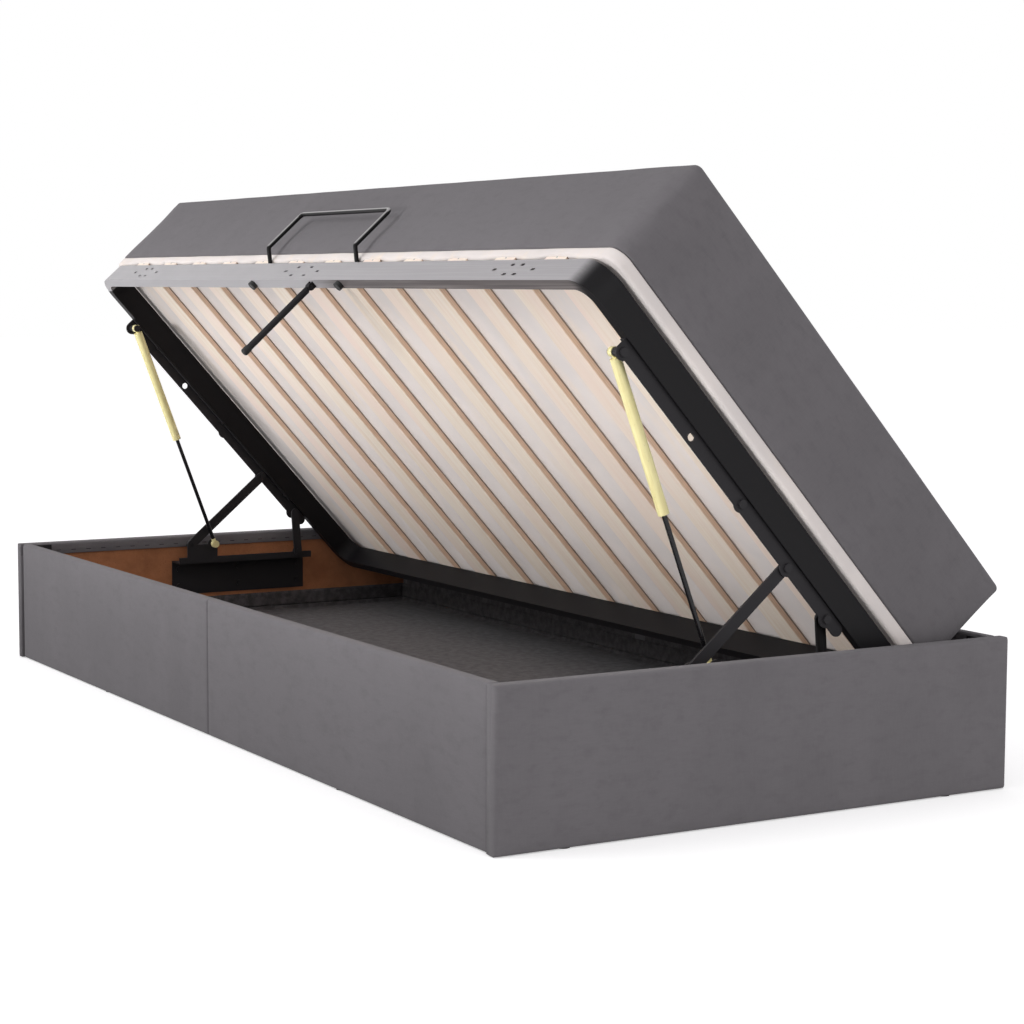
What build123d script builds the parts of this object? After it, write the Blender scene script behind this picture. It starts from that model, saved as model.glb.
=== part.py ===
"""Ottoman storage bed: an upholstered box under a slatted lid that carries the mattress.

Millimetres. X runs along the bed, Z is up, the lid's free edge faces -Y and the hinge side is +Y.
The origin is on the floor under the middle of the box. The lid is drawn standing open.
"""
import os
from math import atan2, cos, degrees, hypot, radians, sin

from build123d import *

os.makedirs("parts", exist_ok=True)

# Upholstered box
base_length = 2080.0
base_width = 950.0
base_height = 247.0
glide_height = 4.0
glide_inset = 120.0
end_core = 22.0
side_core = 16.0
cover_thickness = 3.0
cover_turn_down = 32.0
cover_rounding = 2.5
side_recess = 3.0
seam_gap = 0.6

# Floor of the box
floor_height = 65.0
liner_thickness = 1.5
liner_upstand = 42.0
panel_thickness = 4.0
crossbar_thickness = 18.0
crossbar_width = 60.0
crossbar_count = 5
bearer_size = 22.0
fit_gap = 0.3
foot_radius = 20.0

# Metal that joins the box
corner_leg = 42.0
corner_height = 24.0
corner_drop = 4.0
plate_metal = 3.0
joining_length = 160.0
joining_height = 30.0
joining_drop = 60.0
screw_head_radius = 6.0
screw_head_height = 2.5
screw_radius = 2.5

# Mattress, sized from the box
mattress_end_margin = 40.0
mattress_side_margin = 25.0
mattress_length = base_length - 2 * mattress_end_margin
mattress_width = base_width - 2 * mattress_side_margin
mattress_height = 190.0
underside_height = 16.0
mattress_low_corner_radius = 42.0
mattress_high_corner_radius = 22.0
mattress_edge_radius = 9.0
mattress_crown = 6.0
mattress_crown_start = 60.0
mattress_draw_in = 2.0

# Slatted frame of the lid, sized from the mattress
frame_end_inset = 12.0
frame_rear_inset = 22.0
frame_length = mattress_length - 2 * frame_end_inset
frame_depth = mattress_width - frame_rear_inset
rail_height = 46.0
rail_width = 19.0
rail_wall = 1.5
frame_corner_radius = 48.0
slat_thickness = 12.0
slat_width = 60.0
slat_count = 12
slat_end_inset = 149.8
slat_setback = 5.0
slat_edge_radius = 2.0
slat_screw_head_radius = 5.0
joiner_length = 110.0
slot_length = 12.0
slot_width = 5.0
slot_row_step = 10.8
side_group_inset = 232.0
side_group_inner = 15.0
side_group_outer = 58.0
middle_group_inner = 27.0
middle_group_outer = 66.0
slot_group_rise = 24.0

# Handle that keeps the mattress on the lid
handle_slat_offset = 47.6
handle_bar_radius = 4.0
handle_standoff = 21.0
handle_rise = 86.0
handle_bend_radius = 10.0
handle_kink_radius = 5.0
handle_hole_margin = 3.5
nut_radius = 8.5
nut_height = 8.0

# Support leg, hinged under the front rail and just clear of the floor of the box when the lid is shut
leg_x = 72.0
leg_radius = 6.0
leg_floor_gap = 1.0
leg_pivot_drop = 8.0
leg_eye_radius = 6.5
leg_eye_width = 9.0
leg_neck_radius = 4.0
leg_neck_length = 7.5
leg_cap_radius = 7.0
leg_cap_length = 14.0
lug_radius = 6.0
lug_metal = 2.0
leg_pin_radius = 2.5
leg_pin_head_radius = 4.0

# Open and closed places of the lid: the hinge side of the mattress's grey bottom line, then the free edge
lid_open_angle = 48.0
open_rear_inset = 93.8
open_rear_drop = 52.3
closed_front_gap = 1.0

# Lift mechanism: pivots on the lid bracket, then pivots on the base bracket
arm_pivot_inset = 301.5
arm_pivot_drop = 14.5
link_pivot_inset = 187.0
link_pivot_drop = 14.0
strut_pivot_w = 126.0
strut_pivot_drop = 16.0
arm_base_drop = 17.0
link_base_drop = 45.0

# Lift mechanism: plates, pins and running gaps
flange_inset = 6.0
flange_metal = 3.0
flange_depth = 22.0
bracket_leg = 11.5
plate_gap = 1.5
arm_metal = 4.5
arm_width = 20.0
link_width = 18.0
upright_metal = 3.5
web_drop = 56.0
mounting_gap = 8.0
bracket_front_margin = 30.0
bracket_rear_margin = 34.0
lobe_radius = 11.0
ear_radius = 13.0
flange_tail = 27.0
pin_radius = 4.0
pin_clearance = 0.1
pin_head_radius = 7.0
rivet_head_height = 1.0
bolt_head_height = 4.0
open_pivot_gap = 0.3
link_gap = 0.5
hole_in_bracket_w = 302.0
hole_in_bracket_radius = 6.5
stop_bolt_w = 442.0
bracket_screw_shares = (0.12, 0.5, 0.88)

# Gas struts
strut_radius = 9.0
strut_wall = 1.8
strut_gap = 4.0
strut_cap = 2.0
strut_neck = 1.5
strut_neck_radius = 4.5
eye_radius = 8.0
eye_width = 10.0
eye_shoulder = 13.0
rod_radius = 4.0
piston_length = 4.0
gland_length = 4.0
strut_end_play = 1.0
strut_spare = 2.5

overrun = 50.0

# Levels across the lid, measured up from the mattress's grey bottom line
underside_t = -underside_height
slat_t = underside_t - slat_thickness
rail_t = slat_t - rail_height
rail_mid_w = rail_width / 2
flange_t = rail_t - flange_depth
flange_mid_t = (rail_t + flange_t) / 2

# Levels and faces of the box
end_thickness = end_core + 2 * cover_thickness
side_thickness = side_core + 2 * cover_thickness
end_inner_x = base_length / 2 - end_thickness
end_core_inner_x = end_inner_x + cover_thickness
side_outer_y = base_width / 2 - side_recess
side_inner_y = side_outer_y - side_thickness
side_core_inner_y = side_inner_y + cover_thickness
turn_z = base_height - cover_turn_down
core_low_z = glide_height + cover_thickness
core_high_z = base_height - cover_thickness
panel_top_z = floor_height - liner_thickness
panel_low_z = panel_top_z - panel_thickness
crossbar_low_z = panel_low_z - crossbar_thickness
bearer_low_z = crossbar_low_z - bearer_size

# Places of the plates across the bed, outermost first
flange_outer_x = frame_length / 2 - flange_inset
flange_inner_x = flange_outer_x - flange_metal
arm_outer_x = flange_inner_x - plate_gap
arm_inner_x = arm_outer_x - arm_metal
upright_outer_x = arm_inner_x - plate_gap
upright_inner_x = upright_outer_x - upright_metal
link_outer_x = upright_inner_x - link_gap
link_inner_x = link_outer_x - arm_metal
strut_x = upright_inner_x - strut_gap - strut_radius
web_low_z = base_height - web_drop - plate_metal
web_high_z = base_height - web_drop
mounting_low_z = floor_height + liner_upstand + mounting_gap

# The lid's own axes when it stands open: x along the bed, w from the free edge, t out of the mattress
lid_sin = sin(radians(lid_open_angle))
lid_cos = cos(radians(lid_open_angle))
open_front_y = side_inner_y - open_rear_inset - mattress_width * lid_cos
open_front_z = base_height - open_rear_drop + mattress_width * lid_sin
closed_front_y = closed_front_gap - side_inner_y
closed_front_z = base_height - rail_t
lid_plane = Plane(origin=(0, open_front_y, open_front_z), x_dir=(1, 0, 0), z_dir=(0, lid_sin, lid_cos))
lid_w_axis = Axis((0, 0, 0), (0, lid_cos, -lid_sin))
lid_t_axis = Axis((0, 0, 0), (0, lid_sin, lid_cos))

hands = ((-1, "left"), (1, "right"))


def open_point(w, t):
    """Y and Z of a point of the lid when it stands open."""
    y = open_front_y + w * lid_cos + t * lid_sin
    z = open_front_z - w * lid_sin + t * lid_cos
    return y, z


def closed_point(w, t):
    """Y and Z of the same point when the lid is shut."""
    return closed_front_y + w, closed_front_z + t


def base_pivot(w, t, height):
    """The fixed pivot at a given height that is as far from the lid's pivot open as shut."""
    open_y, open_z = open_point(w, t)
    shut_y, shut_z = closed_point(w, t)
    middle_y = (open_y + shut_y) / 2
    middle_z = (open_z + shut_z) / 2
    return middle_y - (height - middle_z) * (shut_z - open_z) / (shut_y - open_y), height


def strut_pivot_place(w, t):
    """The fixed pivot level with the lid's shut pivot, where the strut opens to twice its shut length
    less what its eyes, ends and piston take up."""
    open_y, open_z = open_point(w, t)
    shut_y, shut_z = closed_point(w, t)
    across = shut_y - open_y
    half = 2 * strut_dead_length + across
    square = strut_dead_length ** 2 - across ** 2 - (shut_z - open_z) ** 2
    return shut_y + (half + (half ** 2 - 3 * square) ** 0.5) / 3, shut_z


def front_plane(x, w, t):
    """Plane on the lid's front face, its Y up the face."""
    y, z = open_point(w, t)
    return Plane(origin=(x, y, z), x_dir=(1, 0, 0), z_dir=(0, -lid_cos, lid_sin))


def lid_side_plane(x):
    """Plane across the bed whose X and Y are the lid's w and t."""
    return Plane(origin=(x, open_front_y, open_front_z), x_dir=(0, lid_cos, -lid_sin), z_dir=(1, 0, 0))


def base_side_plane(x):
    """Plane across the bed whose X and Y are the bed's Y and Z."""
    return Plane(origin=(x, 0, 0), x_dir=(0, 1, 0), z_dir=(1, 0, 0))


def block(x_range, y_range, z_range, mode=Mode.ADD):
    """A box in the bed's axes, given by its lowest and highest values."""
    with BuildSketch(Plane.XY.offset(z_range[0])) as profile:
        with Locations((sum(x_range) / 2, sum(y_range) / 2)):
            Rectangle(abs(x_range[1] - x_range[0]), abs(y_range[1] - y_range[0]))
    extrude(profile.sketch, amount=z_range[1] - z_range[0], mode=mode)


def lid_block(x_range, w_range, t_range, mode=Mode.ADD):
    """A box in the lid's axes, given by its lowest and highest values."""
    with BuildSketch(lid_plane.offset(t_range[0])) as profile:
        with Locations((sum(x_range) / 2, sum(w_range) / 2)):
            Rectangle(abs(x_range[1] - x_range[0]), abs(w_range[1] - w_range[0]))
    extrude(profile.sketch, amount=t_range[1] - t_range[0], mode=mode)


def disc(plane, point, radius, length, mode=Mode.ADD):
    """A short cylinder that starts on a plane at a point of that plane."""
    with BuildSketch(plane) as profile:
        with Locations(point):
            Circle(radius)
    extrude(profile.sketch, amount=length, mode=mode)


def save(builder, name):
    """Label a finished piece and write it."""
    builder.part.label = name
    export_step(builder.part, f"parts/{name}.step")


# Strut lengths along its axis, from the middle of the upper eye
body_start = eye_radius + strut_neck
bore_start = body_start + strut_cap
strut_dead_length = (bore_start + gland_length + piston_length + eye_shoulder + 2 * strut_end_play
                     + strut_spare)

# Pivots of the lift mechanism, in the lid's axes and then in the bed's
arm_pivot = (frame_depth - arm_pivot_inset, rail_t - arm_pivot_drop)
link_pivot = (frame_depth - link_pivot_inset, rail_t - link_pivot_drop)
strut_pivot = (strut_pivot_w, rail_t - strut_pivot_drop)
arm_top = open_point(*arm_pivot)
link_top = open_point(*link_pivot)
strut_top = open_point(*strut_pivot)
strut_top_shut = closed_point(*strut_pivot)
arm_base = base_pivot(*arm_pivot, base_height - arm_base_drop)
link_base = base_pivot(*link_pivot, base_height - link_base_drop)
strut_base = strut_pivot_place(*strut_pivot)
bracket_low_y = min(arm_base[0], strut_base[0]) - bracket_front_margin
bracket_high_y = link_base[0] + bracket_rear_margin
strut_open_length = hypot(strut_top[0] - strut_base[0], strut_top[1] - strut_base[1])
strut_shut_length = hypot(strut_top_shut[0] - strut_base[0], strut_top_shut[1] - strut_base[1])


# End boards and their covers
for side, hand in hands:
    core_x = (side * end_core_inner_x, side * (end_core_inner_x + end_core))
    with BuildPart() as end_board:
        block(core_x, (cover_thickness - base_width / 2, base_width / 2 - cover_thickness),
              (core_low_z, core_high_z))
    save(end_board, f"end_board_{hand}")

    with BuildPart() as end_cover:
        block((side * end_inner_x, side * base_length / 2), (-base_width / 2, base_width / 2),
              (glide_height, base_height))
        outer_edges = end_cover.faces().sort_by(Axis.X)[-1 if side > 0 else 0].edges()
        fillet(outer_edges, cover_rounding)
        block(core_x, (cover_thickness - base_width / 2, base_width / 2 - cover_thickness),
              (core_low_z, core_high_z), Mode.SUBTRACT)
        block((side * end_inner_x, side * end_core_inner_x), (-base_width / 2, base_width / 2),
              (glide_height, turn_z), Mode.SUBTRACT)
    save(end_cover, f"end_cover_{hand}")

# Long boards in two lengths, their covers meeting in a seam at mid length
for face, long_side in ((-1, "front"), (1, "back")):
    for side, hand in hands:
        long_x = (side * seam_gap / 2, side * end_inner_x)
        core_x = (side * (seam_gap / 2 + cover_thickness), side * end_inner_x)
        core_y = (face * side_core_inner_y, face * (side_core_inner_y + side_core))
        with BuildPart() as long_board:
            block(core_x, core_y, (core_low_z, core_high_z))
        save(long_board, f"{long_side}_board_{hand}")

        with BuildPart() as long_cover:
            block(long_x, (face * side_inner_y, face * side_outer_y), (glide_height, base_height))
            outer_face = long_cover.faces().sort_by(Axis.Y)[-1 if face > 0 else 0]
            fillet(outer_face.edges(), cover_rounding)
            block(core_x, core_y, (core_low_z, core_high_z), Mode.SUBTRACT)
            block(long_x, (face * side_inner_y, face * side_core_inner_y), (glide_height, turn_z),
                  Mode.SUBTRACT)
        save(long_cover, f"{long_side}_cover_{hand}")

# Corner brackets inside the four corners, over the turned-down cover
corner_high_z = base_height - corner_drop
corner_low_z = corner_high_z - corner_height
with BuildPart() as corner_brackets:
    for side in (-1, 1):
        for face in (-1, 1):
            corner_x = (side * (end_inner_x - corner_leg), side * end_inner_x)
            corner_y = (face * (side_inner_y - corner_leg), face * side_inner_y)
            block(corner_x, corner_y, (corner_low_z, corner_high_z))
            block((corner_x[0], side * (end_inner_x - plate_metal)),
                  (corner_y[0], face * (side_inner_y - plate_metal)),
                  (corner_low_z, corner_high_z), Mode.SUBTRACT)
save(corner_brackets, "corner_brackets")

# Plates that join the two lengths of each long board
joining_high_z = base_height - joining_drop
with BuildPart() as joining_plates:
    for face in (-1, 1):
        block((-joining_length / 2, joining_length / 2),
              (face * (side_core_inner_y - plate_metal), face * side_core_inner_y),
              (joining_high_z - joining_height, joining_high_z))
save(joining_plates, "joining_plates")

# Screws of the corner brackets, joining plates and base brackets, their heads on the metal
corner_mid_z = (corner_low_z + corner_high_z) / 2
with BuildPart() as box_screws:
    for side in (-1, 1):
        for face in (-1, 1):
            head_x = side * (end_inner_x - plate_metal)
            head_y = face * (side_inner_y - plate_metal)
            screw_y = face * (side_inner_y - corner_leg / 2)
            screw_x = side * (end_inner_x - corner_leg / 2)
            disc(base_side_plane(head_x), (screw_y, corner_mid_z), screw_head_radius,
                 -side * screw_head_height)
            disc(Plane.XZ.offset(-head_y), (screw_x, corner_mid_z), screw_head_radius,
                 face * screw_head_height)
            disc(Plane.XZ.offset(-face * (side_core_inner_y - plate_metal)),
                 (side * joining_length / 4, joining_high_z - joining_height / 2),
                 screw_head_radius, face * screw_head_height)
        with BuildSketch(base_side_plane(side * (end_core_inner_x - plate_metal))):
            with Locations(((bracket_low_y + bracket_high_y) / 2, (mounting_low_z + web_high_z) / 2)):
                with GridLocations((bracket_high_y - bracket_low_y) / 2 - bracket_front_margin / 2,
                                   (web_high_z - mounting_low_z) / 2, 3, 2):
                    Circle(screw_head_radius)
        extrude(amount=-side * screw_head_height)
save(box_screws, "box_screws")

# Battens along the long boards that carry the floor
with BuildPart() as floor_bearers:
    for face in (-1, 1):
        block((fit_gap - end_core_inner_x, end_core_inner_x - fit_gap),
              (face * (side_core_inner_y - bearer_size), face * side_core_inner_y),
              (bearer_low_z, crossbar_low_z))
save(floor_bearers, "floor_bearers")

# Crossbars under the floor, from batten to batten
crossbar_step = (2 * end_core_inner_x - crossbar_width - 2 * fit_gap) / (crossbar_count - 1)
with BuildPart() as floor_crossbars:
    with BuildSketch(Plane.XY.offset(crossbar_low_z)):
        with GridLocations(crossbar_step, crossbar_step, crossbar_count, 1):
            Rectangle(crossbar_width, 2 * (side_core_inner_y - fit_gap))
    extrude(amount=crossbar_thickness)
save(floor_crossbars, "floor_crossbars")

# Floor panels, two lengths that meet over the middle crossbar
with BuildPart() as floor_panels:
    for side in (-1, 1):
        block((side * fit_gap, side * (end_core_inner_x - fit_gap)),
              (fit_gap - side_core_inner_y, side_core_inner_y - fit_gap),
              (panel_low_z, panel_top_z))
save(floor_panels, "floor_panels")

# Fabric liner: a floor with a low upstand along the four boards
liner_x = end_core_inner_x - fit_gap
liner_y = side_core_inner_y - fit_gap
with BuildPart() as storage_liner:
    block((-liner_x, liner_x), (-liner_y, liner_y), (panel_top_z, floor_height + liner_upstand))
    block((liner_thickness - liner_x, liner_x - liner_thickness),
          (liner_thickness - liner_y, liner_y - liner_thickness),
          (floor_height, floor_height + liner_upstand), Mode.SUBTRACT)
save(storage_liner, "storage_liner")

# Feet under the crossbars along the middle of the floor
with BuildPart() as centre_feet:
    with BuildSketch(Plane.XY):
        with GridLocations(crossbar_step, crossbar_step, crossbar_count, 1):
            Circle(foot_radius)
    extrude(amount=crossbar_low_z)
save(centre_feet, "centre_feet")

# Glides under the edges of the box
glide_x = base_length / 2 - end_thickness / 2
glide_y = side_outer_y - side_thickness / 2
with BuildPart() as edge_glides:
    with BuildSketch(Plane.XY):
        with GridLocations(2 * glide_x, base_width - 2 * glide_inset, 2, 2):
            Circle(end_thickness / 2 - cover_thickness)
        with GridLocations(base_length / 2, 2 * glide_y, 2, 2):
            Circle(side_thickness / 2 - cover_thickness)
    extrude(amount=glide_height)
save(edge_glides, "edge_glides")

# Slatted frame of the lid: two bent tubes that meet at mid length
slot_mid_t = rail_t + slot_group_rise
side_slots = (side_group_inner, side_group_outer)
middle_slots = (middle_group_inner, middle_group_outer)


def rail_outline(inset):
    """Rounded outline of the frame, drawn in from its outside by an inset."""
    with Locations((0, frame_depth / 2)):
        RectangleRounded(frame_length - 2 * inset, frame_depth - 2 * inset, frame_corner_radius - inset)


def rail_ring(outer, inner):
    """The band of the frame between two insets."""
    rail_outline(outer)
    with Locations((0, frame_depth / 2)):
        RectangleRounded(frame_length - 2 * inner, frame_depth - 2 * inner, frame_corner_radius - inner,
                         mode=Mode.SUBTRACT)


def keep_half(side):
    """Keep the left or the right half of a sketch on the lid."""
    with Locations((side * frame_length / 2, frame_depth / 2)):
        Rectangle(frame_length, 2 * frame_depth, mode=Mode.INTERSECT)


def slot_group(centre, inner, outer):
    """Six slots: two above, two below and one at each end."""
    with Locations((centre - inner, slot_row_step), (centre + inner, slot_row_step),
                   (centre - inner, -slot_row_step), (centre + inner, -slot_row_step),
                   (centre - outer, 0), (centre + outer, 0)):
        SlotOverall(slot_length, slot_width)


side_group_centre = frame_length / 2 - side_group_inset
slat_pitch = (frame_length - 2 * slat_end_inset) / (slat_count - 1)
slat_places = [(index - (slat_count - 1) / 2) * slat_pitch for index in range(slat_count)]
slat_screw_ws = (rail_mid_w, frame_depth - rail_mid_w)
handle_x = 3 * slat_pitch / 2 - handle_slat_offset

for side, hand in hands:
    with BuildPart() as frame_half:
        with BuildSketch(lid_plane.offset(rail_t)):
            rail_ring(0, rail_width)
            keep_half(side)
        extrude(amount=rail_height)
        with BuildSketch(lid_plane.offset(rail_t + rail_wall)):
            rail_ring(rail_wall, rail_width - rail_wall)
            keep_half(side)
        extrude(amount=rail_height - 2 * rail_wall, mode=Mode.SUBTRACT)
        # Slots in the front face
        with BuildSketch(front_plane(0, 0, slot_mid_t)):
            slot_group(side * side_group_centre, *side_slots)
            slot_group(0, *middle_slots)
            with Locations((side * frame_length / 2, 0)):
                Rectangle(frame_length, rail_height, mode=Mode.INTERSECT)
        extrude(amount=-rail_wall, mode=Mode.SUBTRACT)
        # Holes for the handle, through the bottom and then wider through the top
        disc(lid_plane.offset(rail_t), (side * handle_x, rail_mid_w), handle_bar_radius + pin_clearance,
             rail_wall, Mode.SUBTRACT)
        disc(lid_plane.offset(slat_t - rail_wall), (side * handle_x, rail_mid_w),
             handle_bar_radius + handle_hole_margin, rail_wall, Mode.SUBTRACT)
        # Holes for the slat screws
        for place in slat_places:
            if place * side > 0:
                for screw_w in slat_screw_ws:
                    disc(lid_plane.offset(slat_t - rail_wall), (place, screw_w), screw_radius,
                         rail_wall, Mode.SUBTRACT)
    save(frame_half, f"frame_{hand}")

# Bars inside the tubes that join the two halves of the frame
joiner_inset = rail_wall + fit_gap
with BuildPart() as frame_joiners:
    for low_w in (0, frame_depth - rail_width):
        lid_block((fit_gap / 2 - joiner_length / 2, joiner_length / 2 - fit_gap / 2),
                  (low_w + joiner_inset, low_w + rail_width - joiner_inset),
                  (rail_t + rail_wall, slat_t - joiner_inset))
save(frame_joiners, "frame_joiners")

# Slats across the frame
for index, place in enumerate(slat_places):
    with BuildPart() as slat:
        lid_block((place - slat_width / 2, place + slat_width / 2),
                  (slat_setback, frame_depth - slat_setback), (slat_t, underside_t))
        fillet(slat.edges().filter_by(lid_w_axis), slat_edge_radius)
        for screw_w in slat_screw_ws:
            disc(lid_plane.offset(slat_t), (place, screw_w), screw_radius, slat_thickness, Mode.SUBTRACT)
            disc(lid_plane.offset(underside_t - screw_head_height), (place, screw_w),
                 slat_screw_head_radius, screw_head_height, Mode.SUBTRACT)
    save(slat, f"slat_{index + 1:02d}")

# Screws that hold the slats, sunk in their upper faces
with BuildPart() as slat_screws:
    for place in slat_places:
        for screw_w in slat_screw_ws:
            disc(lid_plane.offset(slat_t - rail_wall), (place, screw_w), screw_radius,
                 slat_thickness + rail_wall)
            disc(lid_plane.offset(underside_t - screw_head_height), (place, screw_w),
                 slat_screw_head_radius, screw_head_height)
save(slat_screws, "slat_screws")


# Mattress: a grey upper part with drawn-in sides and a low crown, over a white underside
def mattress_outline(inset, radius):
    """Rounded outline of the mattress, drawn in by an inset, with corners of a given radius."""
    with Locations((0, mattress_width / 2)):
        RectangleRounded(mattress_length - 2 * inset, mattress_width - 2 * inset, radius)


mattress_mid_corner_radius = (mattress_low_corner_radius + mattress_high_corner_radius) / 2
with BuildPart() as mattress:
    with BuildSketch(lid_plane):
        mattress_outline(0, mattress_low_corner_radius)
    with BuildSketch(lid_plane.offset(mattress_height / 2)):
        mattress_outline(mattress_draw_in, mattress_mid_corner_radius)
    with BuildSketch(lid_plane.offset(mattress_height - mattress_crown)):
        mattress_outline(0, mattress_high_corner_radius)
    loft(ruled=True)
    fillet(mattress.faces().sort_by(lid_t_axis)[-1].edges(), mattress_edge_radius)
    with BuildSketch(lid_plane.offset(mattress_height - mattress_crown)):
        mattress_outline(mattress_edge_radius, mattress_high_corner_radius - mattress_edge_radius)
    with BuildSketch(lid_plane.offset(mattress_height)):
        mattress_outline(mattress_crown_start, mattress_high_corner_radius)
    loft(ruled=True)
save(mattress, "mattress")

with BuildPart() as mattress_underside:
    with BuildSketch(lid_plane.offset(underside_t)):
        mattress_outline(0, mattress_low_corner_radius)
    extrude(amount=underside_height)
save(mattress_underside, "mattress_underside")

# Handle: a bent bar bolted through the front rail. It slants out midway between rail and mattress
kink_low_t = slat_t - rail_wall / 2
kink_slope = ((slat_t + underside_t) / 2 - kink_low_t) / rail_mid_w
kink_high_t = kink_low_t + kink_slope * (rail_mid_w + handle_standoff)
handle_foot_t = rail_t - nut_height
handle_path_wt = ((rail_mid_w, handle_foot_t), (rail_mid_w, kink_low_t),
                  (-handle_standoff, kink_high_t), (-handle_standoff, handle_rise))
handle_points = [(-handle_x, *open_point(w, t)) for w, t in handle_path_wt]
handle_points += [(handle_x, *open_point(w, t)) for w, t in reversed(handle_path_wt)]
handle_radii = (handle_kink_radius, handle_kink_radius, handle_bend_radius,
                handle_bend_radius, handle_kink_radius, handle_kink_radius)
with BuildPart() as mattress_handle:
    with BuildLine() as handle_path:
        FilletPolyline(*handle_points, radius=handle_radii)
    with BuildSketch(lid_plane.offset(handle_foot_t)):
        with Locations((-handle_x, rail_mid_w)):
            Circle(handle_bar_radius)
    sweep(path=handle_path.line)
save(mattress_handle, "mattress_handle")

with BuildPart() as handle_nuts:
    for side in (-1, 1):
        disc(lid_plane.offset(rail_t), (side * handle_x, rail_mid_w), nut_radius, -nut_height)
        disc(lid_plane.offset(rail_t), (side * handle_x, rail_mid_w), handle_bar_radius + pin_clearance,
             -nut_height, Mode.SUBTRACT)
save(handle_nuts, "handle_nuts")

# Support leg under the front rail, its rubber cap, and the lugs and pin it turns on
leg_pivot = (rail_mid_w, rail_t - leg_pivot_drop)
leg_top_t = leg_pivot[1] - leg_neck_length
leg_cap_t = rail_t - (base_height - floor_height - leg_floor_gap)
leg_end_t = leg_cap_t + leg_cap_length / 2
lug_x = leg_eye_width / 2 + fit_gap
with BuildPart() as support_leg:
    disc(lid_side_plane(leg_x - leg_eye_width / 2), leg_pivot, leg_eye_radius, leg_eye_width)
    disc(lid_plane.offset(leg_pivot[1]), (leg_x, rail_mid_w), leg_neck_radius,
         -leg_eye_radius - leg_neck_radius)
    disc(lid_side_plane(leg_x - leg_eye_width / 2), leg_pivot, leg_pin_radius + pin_clearance,
         leg_eye_width, Mode.SUBTRACT)
    disc(lid_plane.offset(leg_top_t), (leg_x, rail_mid_w), leg_radius, leg_end_t - leg_top_t)
save(support_leg, "support_leg")

with BuildPart() as leg_cap:
    disc(lid_plane.offset(leg_cap_t), (leg_x, rail_mid_w), leg_cap_radius, leg_cap_length)
    fillet(leg_cap.edges().sort_by(lid_t_axis)[0], leg_cap_radius / 2)
    disc(lid_plane.offset(leg_end_t), (leg_x, rail_mid_w), leg_radius, leg_cap_length, Mode.SUBTRACT)
save(leg_cap, "leg_cap")

with BuildPart() as leg_bracket:
    for side in (-1, 1):
        disc(lid_side_plane(leg_x + side * lug_x), leg_pivot, lug_radius, side * lug_metal)
        lid_block((leg_x + side * lug_x, leg_x + side * (lug_x + lug_metal)),
                  (rail_mid_w - lug_radius, rail_mid_w + lug_radius), (leg_pivot[1], rail_t))
        disc(lid_side_plane(leg_x), leg_pivot, leg_pin_radius, side * (lug_x + lug_metal))
        disc(lid_side_plane(leg_x + side * (lug_x + lug_metal)), leg_pivot, leg_pin_head_radius,
             side * rivet_head_height)
save(leg_bracket, "leg_bracket")

# Angle brackets under the side rails that carry the upper pivots
flange_rear_w = link_pivot[0] + flange_tail
flange_front_w = strut_pivot_w
leg_rear_w = link_pivot[0] - 3 * link_width / 2
stop_bolt = (stop_bolt_w, flange_mid_t)
bracket_screw_ws = [flange_front_w + (flange_rear_w - flange_front_w) * share
                    for share in bracket_screw_shares]
for side, hand in hands:
    with BuildPart() as lid_bracket:
        with BuildSketch(lid_side_plane(side * flange_inner_x)):
            with Locations(((flange_front_w + flange_rear_w) / 2, flange_mid_t)):
                Rectangle(flange_rear_w - flange_front_w, flange_depth)
            with Locations(strut_pivot):
                Circle(ear_radius)
            with Locations((flange_front_w, (rail_t + strut_pivot[1]) / 2)):
                Rectangle(2 * ear_radius, rail_t - strut_pivot[1])
            with Locations(arm_pivot, link_pivot, stop_bolt):
                Circle(lobe_radius + flange_metal)
            with Locations((flange_rear_w, flange_mid_t)):
                Circle(flange_depth / 2)
            with Locations((frame_depth / 2, rail_t + overrun / 2)):
                Rectangle(frame_depth, overrun, mode=Mode.SUBTRACT)
            with Locations(strut_pivot, arm_pivot, link_pivot):
                Circle(pin_radius, mode=Mode.SUBTRACT)
            with Locations((hole_in_bracket_w, flange_mid_t)):
                Circle(hole_in_bracket_radius, mode=Mode.SUBTRACT)
        extrude(amount=side * flange_metal)
        lid_block((side * (flange_outer_x - bracket_leg), side * flange_outer_x),
                  (flange_front_w - ear_radius, leg_rear_w), (rail_t - flange_metal, rail_t))
    save(lid_bracket, f"lid_bracket_{hand}")

with BuildPart() as bracket_screws:
    for side in (-1, 1):
        screw_x = side * (flange_outer_x - bracket_leg + screw_head_radius / 2)
        for screw_w in bracket_screw_ws:
            disc(lid_plane.offset(rail_t - flange_metal), (screw_x, screw_w), screw_head_radius / 2,
                 -screw_head_height)
save(bracket_screws, "bracket_screws")

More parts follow.
